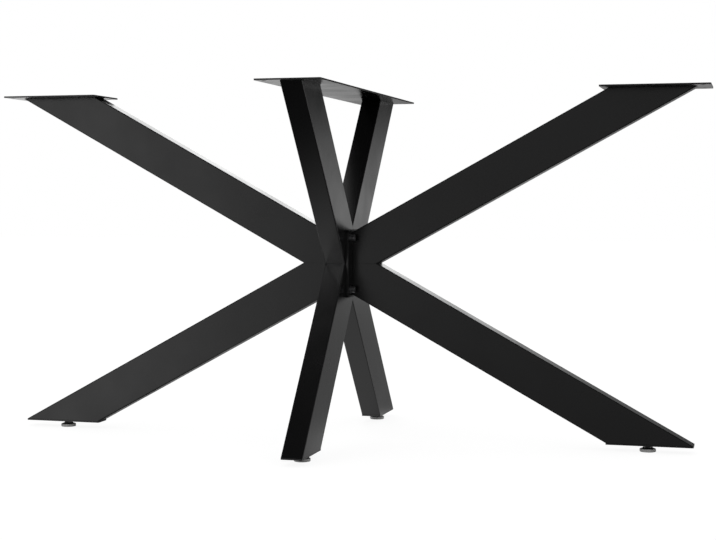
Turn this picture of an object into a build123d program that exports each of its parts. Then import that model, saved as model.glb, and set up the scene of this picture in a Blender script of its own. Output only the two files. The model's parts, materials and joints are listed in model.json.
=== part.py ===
from build123d import *
import math
import os

os.makedirs("parts", exist_ok=True)

# Whole base
total_height = 700.0
wing_reach = 697.0          # centre to the tip of a wing tube and its foot plate
leg_reach = 342.0           # centre to the tip of a leg tube and its foot plate

# Wing tube, two mitred lengths on each side
arm_width = 80.0
arm_thick = 40.0
arm_wall = 2.0
arm_corner = 2.0            # outside corner radius of the rolled tube
wing_notch = 77.0           # centre to the notch between the two arms

# Leg tube, four lengths make the centre X
leg_width = 90.0
leg_thick = 42.0
leg_wall = 2.5
leg_corner = 2.0
leg_notch = 54.0            # centre to the notch between upper and lower leg

# Top plates
top_plate_thick = 3.0
end_plate_length = 206.0
end_plate_depth = 120.0
end_plate_overhang = 26.0   # beyond the tip of the wing tube
centre_plate_width = 125.0
centre_plate_overhang = 23.0
plate_corner = 3.0
top_hole_d = 9.0
top_hole_edge = 15.0        # hole centre to the plate's edges

# Joint plates between wing and X frame
joint_plate_thick = 5.0
joint_flange = 32.5         # plate beyond the arm on each side
joint_lip = 4.0             # plate beyond the wing at top and bottom
joint_corner = 6.0
bolt_edge = 16.0            # bolt centre to the plate's top and bottom edge

# Socket-head bolts, their washers and the threaded bushes they screw into
bolt_d = 8.0
bolt_length = 20.0
bolt_head_d = 13.0
bolt_head_height = 8.0
bolt_head_edge = 0.8
bolt_socket = 6.0
bolt_socket_depth = 4.0
bolt_hole_play = 0.5        # around the shank in the joint plate
washer_d = 16.0
washer_thick = 1.6
washer_play = 0.2
bush_d = 14.0
bush_length = 12.0

# Foot plates, nuts and levelling feet
foot_plate_thick = 3.0
wing_foot_inset = 87.0      # tip of the tube to the foot's centre line
leg_foot_inset = 66.0
nut_across = 17.0
nut_height = 8.0
stud_d = 10.0
stud_length = 38.0
stud_seat = 2.0             # depth of the stud's seat in the glide
stud_hole_play = 0.5        # around the stud in the foot plate
glide_d = 31.0
glide_height = 5.5
glide_edge = 0.8
collar_d = 26.0
collar_rim = 0.6            # straight edge under the cone
collar_cone = 2.4
collar_hex = 16.0           # across the flats, for a spanner
collar_height = 5.0
foot_gap = 2.0              # foot plate down to the collar

# Fits, all radial
thread_play = 0.05
press_play = 0.05

# Levels and angles that follow from the sizes above
foot_drop = glide_height + collar_height + foot_gap
tube_bottom = foot_drop + foot_plate_thick
tube_top = total_height - top_plate_thick
node_z = (tube_bottom + tube_top) / 2
half_height = tube_top - node_z
arm_angle = math.atan2(half_height, wing_reach - wing_notch)
leg_angle = math.atan2(leg_reach - leg_notch, half_height)
arm_cut = arm_width / math.sin(arm_angle)
leg_cut = leg_width / math.cos(leg_angle)
side_face = leg_thick / 2
joint_face = side_face + joint_plate_thick
bolt_seat = joint_face + washer_thick
wing_rise = arm_width / math.cos(arm_angle) - (wing_notch - joint_face) * math.tan(arm_angle)
joint_height = 2 * (wing_rise + joint_lip)
joint_depth = arm_thick + 2 * joint_flange
bolt_y = (arm_thick + joint_flange) / 2
bolt_z = joint_height / 2 - bolt_edge
wing_foot_x = wing_reach - wing_foot_inset
leg_foot_y = leg_reach - leg_foot_inset
far = 2 * (wing_reach + leg_reach + total_height)


def save(name, shape):
    shape.label = name
    export_step(shape, f"parts/{name}.step")


def span(x, y, z):
    # Block between two corners given as pairs
    size = [pair[1] - pair[0] for pair in (x, y, z)]
    middle = [(pair[0] + pair[1]) / 2 for pair in (x, y, z)]
    return Pos(*middle) * Box(*size)


def tube(plane, width, thick, wall, corner):
    outer = RectangleRounded(width, thick, corner)
    inner = RectangleRounded(width - 2 * wall, thick - 2 * wall, max(corner - wall, wall / 4))
    return extrude(plane * (outer - inner), far / 2, both=True)


def arm(end):
    # Right arm above the mitre, cut level at the given height over it
    along = Vector(math.cos(arm_angle), 0, math.sin(arm_angle))
    across = Vector(-math.sin(arm_angle), 0, math.cos(arm_angle))
    start = Vector(wing_notch, 0, 0) + across * (arm_width / 2)
    stock = tube(Plane(start, across, along), arm_width, arm_thick, arm_wall, arm_corner)
    return stock & span((joint_face, far), (-far, far), (0, end))


def leg(end):
    # Front leg above the mitre, with the bush holes through both side walls
    along = Vector(0, -math.sin(leg_angle), math.cos(leg_angle))
    across = Vector(0, math.cos(leg_angle), math.sin(leg_angle))
    start = Vector(0, -leg_notch, 0) + across * (leg_width / 2)
    stock = tube(Plane(start, across, along), leg_width, leg_thick, leg_wall, leg_corner)
    trimmed = stock & span((-far, far), (-far, 0), (0, end))
    drill = Pos(0, -bolt_y, bolt_z) * Rot(0, 90, 0) * Cylinder(bush_d / 2 + press_play, 2 * leg_thick)
    return trimmed - drill


def plate(x, y, z, corner, holes=(), hole_d=0.0):
    # Flat plate between two corners, with round holes through it
    sheet = span(x, y, z)
    sheet = fillet(sheet.edges().filter_by(Axis.Z), corner)
    for hx, hy in holes:
        sheet -= Pos(hx, hy, z[0]) * Cylinder(hole_d / 2, far)
    return sheet


def corner_holes(x, y, edge):
    return [(hx, hy) for hx in (x[0] + edge, x[1] - edge) for hy in (y[0] + edge, y[1] - edge)]


def end_top_plate():
    tip = wing_reach + end_plate_overhang
    x = (tip - end_plate_length, tip)
    y = (-end_plate_depth / 2, end_plate_depth / 2)
    holes = corner_holes(x, y, top_hole_edge)
    return plate(x, y, (tube_top, total_height), plate_corner, holes, top_hole_d)


def centre_top_plate():
    x = (-centre_plate_width / 2, centre_plate_width / 2)
    tip = leg_reach + centre_plate_overhang
    y = (-tip, tip)
    holes = corner_holes(x, y, top_hole_edge)
    return plate(x, y, (tube_top, total_height), plate_corner, holes, top_hole_d)


def wing_foot_plate():
    # From the heel of the tube's cut to the tip
    heel = wing_reach - arm_cut
    centre = [(wing_foot_x, 0)]
    y = (-arm_thick / 2, arm_thick / 2)
    z = (foot_drop, tube_bottom)
    return plate((heel, wing_reach), y, z, arm_corner, centre, stud_d + 2 * stud_hole_play)


def leg_foot_plate():
    heel = leg_reach - leg_cut
    centre = [(0, -leg_foot_y)]
    x = (-leg_thick / 2, leg_thick / 2)
    z = (foot_drop, tube_bottom)
    return plate(x, (-leg_reach, -heel), z, leg_corner, centre, stud_d + 2 * stud_hole_play)


def joint_plate():
    # Drawn flat, then stood against the leg's side face
    y = (-joint_depth / 2, joint_depth / 2)
    z = (-joint_height / 2, joint_height / 2)
    holes = [(hz, hy) for hz in (-bolt_z, bolt_z) for hy in (-bolt_y, bolt_y)]
    flat = plate(z, y, (0, joint_plate_thick), joint_corner, holes, bolt_d + 2 * bolt_hole_play)
    return Pos(side_face, 0, node_z) * Rot(0, 90, 0) * flat


def at_bolts(piece):
    # One copy of a turned piece, axis up, on each bolt's centre line
    spots = [(bolt_seat, y, node_z + z) for y in (-bolt_y, bolt_y) for z in (-bolt_z, bolt_z)]
    return Compound(children=[Pos(*spot) * Rot(0, 90, 0) * piece for spot in spots])


def bolt():
    # Seat of the head on the zero level, shank below it
    shank = Pos(0, 0, -bolt_length / 2) * Cylinder(bolt_d / 2, bolt_length)
    shank = chamfer(shank.faces().sort_by(Axis.Z)[0].edges(), bolt_d / 10)
    head = Pos(0, 0, bolt_head_height / 2) * Cylinder(bolt_head_d / 2, bolt_head_height)
    head = fillet(head.faces().sort_by(Axis.Z)[-1].edges(), bolt_head_edge)
    key = RegularPolygon(bolt_socket / math.sqrt(3), 6)
    socket = extrude(Pos(0, 0, bolt_head_height - bolt_socket_depth) * key, bolt_head_height)
    return shank + head - socket


def washer():
    ring = Cylinder(washer_d / 2, washer_thick) - Cylinder(bolt_d / 2 + washer_play, washer_thick)
    return Pos(0, 0, -washer_thick / 2) * ring


def bush():
    # Flush with the leg's side face, so below the bolt's seat by the washer and the joint plate
    body = Cylinder(bush_d / 2, bush_length) - Cylinder(bolt_d / 2 + thread_play, bush_length)
    return Pos(0, 0, -washer_thick - joint_plate_thick - bush_length / 2) * body


def foot_nut():
    hexagon = extrude(RegularPolygon(nut_across / math.sqrt(3), 6), nut_height)
    bored = hexagon - Cylinder(stud_d / 2 + thread_play, 4 * nut_height)
    return Pos(0, 0, tube_bottom) * bored


def foot_stud():
    rod = Pos(0, 0, stud_length / 2) * Cylinder(stud_d / 2, stud_length)
    rod = chamfer(rod.faces().sort_by(Axis.Z)[-1].edges(), stud_d / 8)
    return Pos(0, 0, glide_height - stud_seat) * rod


def foot_glide():
    disc = Pos(0, 0, glide_height / 2) * Cylinder(glide_d / 2, glide_height)
    disc = fillet(disc.edges(), glide_edge)
    seat = Pos(0, 0, glide_height - stud_seat / 2) * Cylinder(stud_d / 2 + press_play, stud_seat)
    return disc - seat


def foot_collar():
    # Rim and cone, with the spanner hexagon standing up through them
    rim = collar_d / 2
    neck = collar_hex / 2
    shoulder = collar_rim + collar_cone
    skirt = Polyline((0, 0), (rim, 0), (rim, collar_rim), (neck, shoulder), (0, shoulder), close=True)
    body = revolve(Plane.XZ * make_face(skirt), Axis.Z)
    body += extrude(RegularPolygon(collar_hex / math.sqrt(3), 6), collar_height)
    body -= Cylinder(stud_d / 2 + press_play, 4 * collar_height)
    return Pos(0, 0, glide_height) * body


# Wings: the right one is drawn, the left one is its mirror image
upper_arm = Pos(0, 0, node_z) * arm(tube_top - node_z)
lower_arm = Pos(0, 0, node_z) * mirror(arm(node_z - tube_bottom), Plane.XY)
wing = {
    "upper_arm": upper_arm,
    "lower_arm": lower_arm,
    "joint_plate": joint_plate(),
    "joint_bolts": at_bolts(bolt()),
    "joint_washers": at_bolts(washer()),
    "joint_bushes": at_bolts(bush()),
    "top_plate": end_top_plate(),
    "foot_plate": wing_foot_plate(),
}
for name, shape in wing.items():
    save("right_" + name, shape)
    save("left_" + name, mirror(shape, Plane.YZ))

# Centre X: the front half is drawn, the rear half is its mirror image
upper_leg = Pos(0, 0, node_z) * leg(tube_top - node_z)
lower_leg = Pos(0, 0, node_z) * mirror(leg(node_z - tube_bottom), Plane.XY)
half_x = {"upper_leg": upper_leg, "lower_leg": lower_leg, "foot_plate": leg_foot_plate()}
for name, shape in half_x.items():
    save("front_" + name, shape)
    save("rear_" + name, mirror(shape, Plane.XZ))
save("centre_top_plate", centre_top_plate())

# Levelling feet
foot_spots = {
    "right": (wing_foot_x, 0),
    "left": (-wing_foot_x, 0),
    "front": (0, -leg_foot_y),
    "rear": (0, leg_foot_y),
}
foot = {"nut": foot_nut(), "stud": foot_stud(), "glide": foot_glide(), "collar": foot_collar()}
for place, spot in foot_spots.items():
    for name, shape in foot.items():
        save(f"{place}_foot_{name}", Pos(*spot) * shape)
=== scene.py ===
import bpy
import json
import math
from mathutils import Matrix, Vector


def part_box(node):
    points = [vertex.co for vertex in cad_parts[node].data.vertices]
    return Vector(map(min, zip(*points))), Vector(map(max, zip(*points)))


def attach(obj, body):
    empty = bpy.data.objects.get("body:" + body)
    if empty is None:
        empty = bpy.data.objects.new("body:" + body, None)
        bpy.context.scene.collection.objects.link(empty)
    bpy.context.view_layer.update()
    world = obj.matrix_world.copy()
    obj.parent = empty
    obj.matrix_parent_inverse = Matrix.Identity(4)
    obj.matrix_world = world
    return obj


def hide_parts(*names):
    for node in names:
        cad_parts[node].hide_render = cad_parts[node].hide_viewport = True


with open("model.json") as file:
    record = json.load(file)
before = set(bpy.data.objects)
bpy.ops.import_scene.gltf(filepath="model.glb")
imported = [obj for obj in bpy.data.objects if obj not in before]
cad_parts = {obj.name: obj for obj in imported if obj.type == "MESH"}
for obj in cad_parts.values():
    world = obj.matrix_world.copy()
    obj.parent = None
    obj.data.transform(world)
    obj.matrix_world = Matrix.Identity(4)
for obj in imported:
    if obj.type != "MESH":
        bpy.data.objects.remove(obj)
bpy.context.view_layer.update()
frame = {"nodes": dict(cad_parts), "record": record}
cadNodes = frame["nodes"]
print("frame loaded:", len(cadNodes), "nodes")

noiseSpan = (0.3, 0.7)  # nearly all of the noise lies between these
edgeSamples = 4


def addGrain(tree, links, scale, detail):
    # noise fixed to the piece itself
    coords = tree.new("ShaderNodeTexCoord")
    noise = tree.new("ShaderNodeTexNoise")
    noise.inputs["Scale"].default_value = scale
    noise.inputs["Detail"].default_value = detail
    links.new(coords.outputs["Object"], noise.inputs["Vector"])
    return noise.outputs["Fac"]


def unevenGloss(tree, links, shader, look):
    smooth, dull = look["roughness"]
    shader.inputs["Roughness"].default_value = (smooth + dull) / 2
    gloss = tree.new("ShaderNodeMapRange")
    gloss.inputs["From Min"].default_value = noiseSpan[0]
    gloss.inputs["From Max"].default_value = noiseSpan[1]
    gloss.inputs["To Min"].default_value = smooth
    gloss.inputs["To Max"].default_value = dull
    links.new(addGrain(tree, links, *look["glossGrain"]), gloss.inputs["Value"])
    links.new(gloss.outputs["Result"], shader.inputs["Roughness"])


def softEdges(tree, links, shader, look):
    # rounded edges first, then the fine bump on top of them
    edge = tree.new("ShaderNodeBevel")
    edge.samples = edgeSamples
    edge.inputs["Radius"].default_value = look["edge"]
    bump = tree.new("ShaderNodeBump")
    bump.inputs["Strength"].default_value = look["bumpStrength"]
    bump.inputs["Distance"].default_value = look["bumpDepth"]
    links.new(addGrain(tree, links, *look["bumpGrain"]), bump.inputs["Height"])
    links.new(edge.outputs["Normal"], bump.inputs["Normal"])
    links.new(bump.outputs["Normal"], shader.inputs["Normal"])


def makeFinish(name, look):
    mat = bpy.data.materials.new(name)
    mat.use_nodes = True
    tree, links = mat.node_tree.nodes, mat.node_tree.links
    shader = tree["Principled BSDF"]
    shader.inputs["Base Color"].default_value = (*look["color"], 1)
    shader.inputs["Metallic"].default_value = look["metallic"]
    unevenGloss(tree, links, shader, look)
    softEdges(tree, links, shader, look)
    return mat


# a grain is its scale and its detail

# satin black powder coat: orange peel, slow changes of gloss
coatSet = {"color": (0.005, 0.005, 0.0053), "metallic": 0.0, "roughness": (0.19, 0.28),
           "glossGrain": (9, 3.0), "bumpGrain": (700, 2.0), "bumpDepth": 0.00006, "bumpStrength": 0.35,
           "edge": 0.0009}

# black oxide screws and washers, a little shinier than the coat
screwSet = {"color": (0.19, 0.19, 0.195), "metallic": 0.9, "roughness": (0.28, 0.42),
            "glossGrain": (260, 3.0), "bumpGrain": (260, 3.0), "bumpDepth": 0.00003, "bumpStrength": 0.3,
            "edge": 0.0004}

# zinc plated studs, nuts and bushes, slightly cloudy
zincSet = {"color": (0.6, 0.61, 0.63), "metallic": 1.0, "roughness": (0.28, 0.46),
           "glossGrain": (340, 4.0), "bumpGrain": (340, 4.0), "bumpDepth": 0.00002, "bumpStrength": 0.3,
           "edge": 0.0003}

# moulded collar of the foot, spark-eroded texture
collarSet = {"color": (0.012, 0.012, 0.012), "metallic": 0.0, "roughness": (0.36, 0.5),
             "glossGrain": (1500, 2.0), "bumpGrain": (1500, 2.0), "bumpDepth": 0.00004, "bumpStrength": 0.4,
             "edge": 0.0006}

# pale glide, scuffed by the floor
glideSet = {"color": (0.75, 0.75, 0.74), "metallic": 0.0, "roughness": (0.42, 0.62),
            "glossGrain": (420, 5.0), "bumpGrain": (420, 5.0), "bumpDepth": 0.00005, "bumpStrength": 0.4,
            "edge": 0.0005}

finishes = {"powder_coat": makeFinish("powderCoat", coatSet),
            "black_screw": makeFinish("blackScrew", screwSet),
            "zinc_steel": makeFinish("zincSteel", zincSet),
            "black_plastic": makeFinish("blackPlastic", collarSet),
            "grey_glide": makeFinish("greyGlide", glideSet)}
slotOf = {part["node"]: part["material_slot"] for part in frame["record"]["subparts"]}
for name, obj in cadNodes.items():
    obj.data.materials.clear()
    obj.data.materials.append(finishes[slotOf[name]])
print("materials set:", ", ".join(finishes))


def addPiece(name, verts, faces, slotName, body):
    mesh = bpy.data.meshes.new(name)
    mesh.from_pydata([tuple(v) for v in verts], [], faces)
    mesh.validate()
    mesh.polygons.foreach_set("use_smooth", [True] * len(mesh.polygons))
    mesh.materials.append(finishes[slotName])
    obj = bpy.data.objects.new(name, mesh)
    bpy.context.scene.collection.objects.link(obj)
    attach(obj, body)
    return obj


# threaded studs in place of the plain ones
studSet = {"pitch": 0.0015, "crest": 0.00496, "root": 0.0041, "plain": 0.009,
           "flankSlope": 2.7, "crestFlat": 0.3, "around": 32, "rowsPerTurn": 8}


def threadDepth(phase):
    # nothing on the crest, the whole depth at the root
    flank = abs(phase - 0.5) * studSet["flankSlope"] - studSet["crestFlat"]
    return (studSet["crest"] - studSet["root"]) * min(1.0, max(0.0, flank))


def threadedStud(place):
    low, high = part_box(place + "_foot_stud")
    cx, cy = (low.x + high.x) / 2, (low.y + high.y) / 2
    around = studSet["around"]
    threadFrom = low.z + studSet["plain"]
    step = studSet["pitch"] / studSet["rowsPerTurn"]
    levels = [low.z, threadFrom - step]
    while levels[-1] + step < high.z:
        levels.append(levels[-1] + step)
    levels.append(high.z)
    verts, faces = [], []
    for z in levels:
        for i in range(around):
            turn = i / around
            r = studSet["crest"]
            if z >= threadFrom:
                r -= threadDepth(((z - threadFrom) / studSet["pitch"] - turn) % 1.0)
            r = min(r, studSet["root"] + high.z - z)  # chamfer at the top end
            angle = 2 * math.pi * turn
            verts.append((cx + r * math.cos(angle), cy + r * math.sin(angle), z))
    for row in range(len(levels) - 1):
        for i in range(around):
            a = row * around + i
            b = row * around + (i + 1) % around
            faces.append((a, b, b + around, a + around))
    faces.append(tuple(reversed(range(around))))
    faces.append(tuple(range((len(levels) - 1) * around, len(levels) * around)))
    stud = addPiece(place + "_foot_thread", verts, faces, "zinc_steel", place + "_foot")
    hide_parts(place + "_foot_stud")


for place in ("right", "left", "front", "rear"):
    threadedStud(place)
print("threads cut on the four studs")


def rayKinds(tree, links):
    # straight to the camera, and by way of a shiny or clear surface
    path = tree.new("ShaderNodeLightPath")
    mirrored = tree.new("ShaderNodeMath")
    mirrored.operation = "MAXIMUM"
    links.new(path.outputs["Is Glossy Ray"], mirrored.inputs[0])
    links.new(path.outputs["Is Transmission Ray"], mirrored.inputs[1])
    return path.outputs["Is Camera Ray"], mirrored.outputs[0]


def choose(tree, links, fac, low, high):
    mix = tree.new("ShaderNodeMixShader")
    links.new(fac, mix.inputs[0])
    links.new(low.outputs[0], mix.inputs[1])
    links.new(high.outputs[0], mix.inputs[2])
    return mix


def addOn(tree, links, one, other):
    both = tree.new("ShaderNodeAddShader")
    links.new(one.outputs[0], both.inputs[0])
    links.new(other.outputs[0], both.inputs[1])
    return both


def vectorStep(tree, links, operation, source, value=None):
    node = tree.new("ShaderNodeVectorMath")
    node.operation = operation
    links.new(source, node.inputs[0])
    if value is not None:
        node.inputs[1].default_value = value
    return node


def fadeBetween(tree, links, value, start, end, high):
    # strength high at start, nothing at end
    fade = tree.new("ShaderNodeMapRange")
    fade.interpolation_type = "SMOOTHSTEP"
    fade.inputs["From Min"].default_value = start
    fade.inputs["From Max"].default_value = end
    fade.inputs["To Min"].default_value = high
    fade.inputs["To Max"].default_value = 0
    links.new(value, fade.inputs["Value"])
    return fade.outputs["Result"]


# floor: white with a faint soft shadow to the camera, a painted glowing pool under the base in reflections
floorSet = {"half": 14.0, "color": (0.25, 0.25, 0.25), "glow": 0.9, "poolSpot": (-0.12, 0.1, 0),
            "poolShape": (2, 1, 1), "poolIn": 0.2, "poolOut": 0.55, "poolHigh": 0.66}
bpy.ops.mesh.primitive_plane_add(size=2 * floorSet["half"], location=(0, 0, 0))
floor = bpy.context.object
floor.name = "floor"
ground = bpy.data.materials.new("floorPaper")
ground.use_nodes = True
tree, links = ground.node_tree.nodes, ground.node_tree.links
tree.clear()
paper = tree.new("ShaderNodeBsdfDiffuse")
paper.inputs["Color"].default_value = (*floorSet["color"], 1)
shine = tree.new("ShaderNodeEmission")
shine.inputs["Strength"].default_value = floorSet["glow"]
place = tree.new("ShaderNodeNewGeometry")
# painted pool of light: emission on the floor, strongest under the base and fading outwards, seen only in
# reflections
offset = vectorStep(tree, links, "SUBTRACT", place.outputs["Position"], floorSet["poolSpot"])
squeeze = vectorStep(tree, links, "MULTIPLY", offset.outputs["Vector"], floorSet["poolShape"])
away = vectorStep(tree, links, "LENGTH", squeeze.outputs["Vector"])
glow = fadeBetween(tree, links, away.outputs["Value"], floorSet["poolIn"], floorSet["poolOut"],
                   floorSet["poolHigh"])
pool = tree.new("ShaderNodeEmission")
links.new(glow, pool.inputs["Strength"])
clear = tree.new("ShaderNodeBsdfTransparent")
toCamera, mirrored = rayKinds(tree, links)
inMirror = choose(tree, links, mirrored, paper, addOn(tree, links, clear, pool))
whole = choose(tree, links, toCamera, inMirror, addOn(tree, links, paper, shine))
out = tree.new("ShaderNodeOutputMaterial")
links.new(whole.outputs[0], out.inputs["Surface"])
floor.data.materials.append(ground)
print("floor laid")

# surround: plain white to the camera; in reflections a dim room with soft white screens in it
# room: grey by height, from straight down at -1 to straight up at 1
# screens: degrees right of the rear, degrees up, inner and outer radius, times wider than high, strength
worldSet = {
    "fill": 0.45,
    "white": 1.0,
    "room": ((-1, 0.05), (-0.5, 0.06), (-0.15, 0.27), (-0.06, 0.19), (0, 0.14), (0.08, 0.03), (1, 0.04)),
    "screens": {
        "front": (180, 9, 10, 40, 2, 0.35),
        "frontLeft": (215, -2, 10, 21, 1, 1.15),
        "rearLeft": (-11.5, 16.5, 2, 16.5, 1, 2.6),
        "rearLow": (-27, -5, 4, 17, 1, 0.82),
        "rearHorizon": (17, -0.5, 6, 15, 4, 0.6),
        "rearTop": (-0.5, 10.5, 2, 12.5, 1, 0.32),
        "rearFloor": (-3.5, -4.5, 3, 9, 1, 0.2),
        "right": (85, 2, 18, 42, 1, 1.0),
        "left": (-88, 2, 18, 42, 1, 1.0),
        "rearHigh": (0, 62, 8, 30, 1, 0.6),
        "rearRight": (55, -15, 10, 24, 1, 1.0),
        "rearFarLeft": (-60, -15, 10, 24, 1, 1.0),
    },
}
world = bpy.data.worlds.new("studio")
bpy.context.scene.world = world
world.use_nodes = True
tree, links = world.node_tree.nodes, world.node_tree.links
tree.clear()


def sky(strength):
    back = tree.new("ShaderNodeBackground")
    back.inputs["Color"].default_value = (1, 1, 1, 1)
    back.inputs["Strength"].default_value = strength
    return back


def softScreen(look, turn, rise, inner, outer, wide, strength):
    around, up = math.radians(turn), math.radians(rise)
    level = math.cos(up)
    centre = (math.sin(around) * level, math.cos(around) * level, wide * math.sin(up))
    flatten = vectorStep(tree, links, "MULTIPLY", look, (1, 1, wide))
    away = vectorStep(tree, links, "DISTANCE", flatten.outputs["Vector"], centre)
    return fadeBetween(tree, links, away.outputs["Value"], math.radians(inner), math.radians(outer), strength)


look = tree.new("ShaderNodeTexCoord").outputs["Generated"]
height = tree.new("ShaderNodeSeparateXYZ")
links.new(look, height.inputs["Vector"])
lift = tree.new("ShaderNodeMapRange")
lift.inputs["From Min"].default_value = -1
links.new(height.outputs["Z"], lift.inputs["Value"])
room = tree.new("ShaderNodeValToRGB")
stops = room.color_ramp.elements
while len(stops) < len(worldSet["room"]):
    stops.new(1)
for stop, (z, grey) in zip(stops, worldSet["room"]):
    stop.position = (z + 1) / 2
    stop.color = (grey, grey, grey, 1)
links.new(lift.outputs["Result"], room.inputs["Fac"])

total = room.outputs["Color"]
for screen in worldSet["screens"].values():
    join = tree.new("ShaderNodeMath")
    links.new(total, join.inputs[0])
    links.new(softScreen(look, *screen), join.inputs[1])
    total = join.outputs[0]
seen = sky(1)
links.new(total, seen.inputs["Strength"])
toCamera, mirrored = rayKinds(tree, links)
inMirror = choose(tree, links, mirrored, sky(worldSet["fill"]), seen)
whole = choose(tree, links, toCamera, inMirror, sky(worldSet["white"]))
out = tree.new("ShaderNodeOutputWorld")
links.new(whole.outputs[0], out.inputs["Surface"])
print("surround set:", ", ".join(worldSet["screens"]))

# softboxes; two small narrow ones in front lighten the crease of the X, each on one leg alone
lampSet = {
    "keyFrontLeft": {"spot": (-2.1, -3.0, 1.4), "target": (-0.3, 0, 0.35), "size": (1.9, 1.8), "watts": 7,
                     "reflected": False},
    "backLeft": {"spot": (-0.95, 3.2, 1.6), "target": (0, 0, 0.5), "size": (1.8, 1.2), "watts": 8,
                 "reflected": False},
    "topSoft": {"spot": (-0.35, 0.0, 1.75), "target": (-0.35, 0, 0), "size": (0.9, 0.75), "watts": 1.9,
                "reflected": True},
    "creaseLow": {"spot": (-0.222, -0.773, 0.103), "target": (0, -0.045, 0.37), "size": (0.14, 0.14),
                  "watts": 0.011, "reflected": True, "spread": 16, "only": "front_lower_leg"},
    "creaseHigh": {"spot": (-0.218, -0.759, 0.637), "target": (0, -0.045, 0.35), "size": (0.14, 0.14),
                   "watts": 0.009, "reflected": True, "spread": 16, "only": "front_upper_leg"},
}


def softbox(name, spot, target, size, watts, reflected, spread=180, only=None):
    lamp = bpy.data.lights.new(name, "AREA")
    lamp.shape = "RECTANGLE"
    lamp.size = size[0]
    lamp.size_y = size[1]
    lamp.energy = watts
    lamp.spread = math.radians(spread)
    obj = bpy.data.objects.new(name, lamp)
    obj.location = spot
    obj.rotation_euler = (Vector(target) - Vector(spot)).to_track_quat("-Z", "Y").to_euler()
    obj.visible_camera = False
    obj.visible_glossy = reflected
    bpy.context.scene.collection.objects.link(obj)
    if only:
        lit = bpy.data.collections.new(name + "Lit")
        lit.objects.link(cadNodes[only])
        obj.light_linking.receiver_collection = lit


for name, lamp in lampSet.items():
    softbox(name, **lamp)
print("softboxes placed:", ", ".join(lampSet))

# camera where the photograph was taken from
camSet = {"spot": (0.82142, -2.89331, 0.48644), "turn": 15.265, "down": 2.7565, "lens": 74.893, "sensor": 36}
camData = bpy.data.cameras.new("camera")
camData.lens = camSet["lens"]
camData.sensor_width = camSet["sensor"]
camData.sensor_fit = "HORIZONTAL"
camData.dof.use_dof = False
cam = bpy.data.objects.new("camera", camData)
cam.location = camSet["spot"]
cam.rotation_euler = (math.radians(90 - camSet["down"]), 0, math.radians(camSet["turn"]))
bpy.context.scene.collection.objects.link(cam)
bpy.context.scene.camera = cam
bpy.context.scene.view_settings.view_transform = "Standard"
print("camera set")
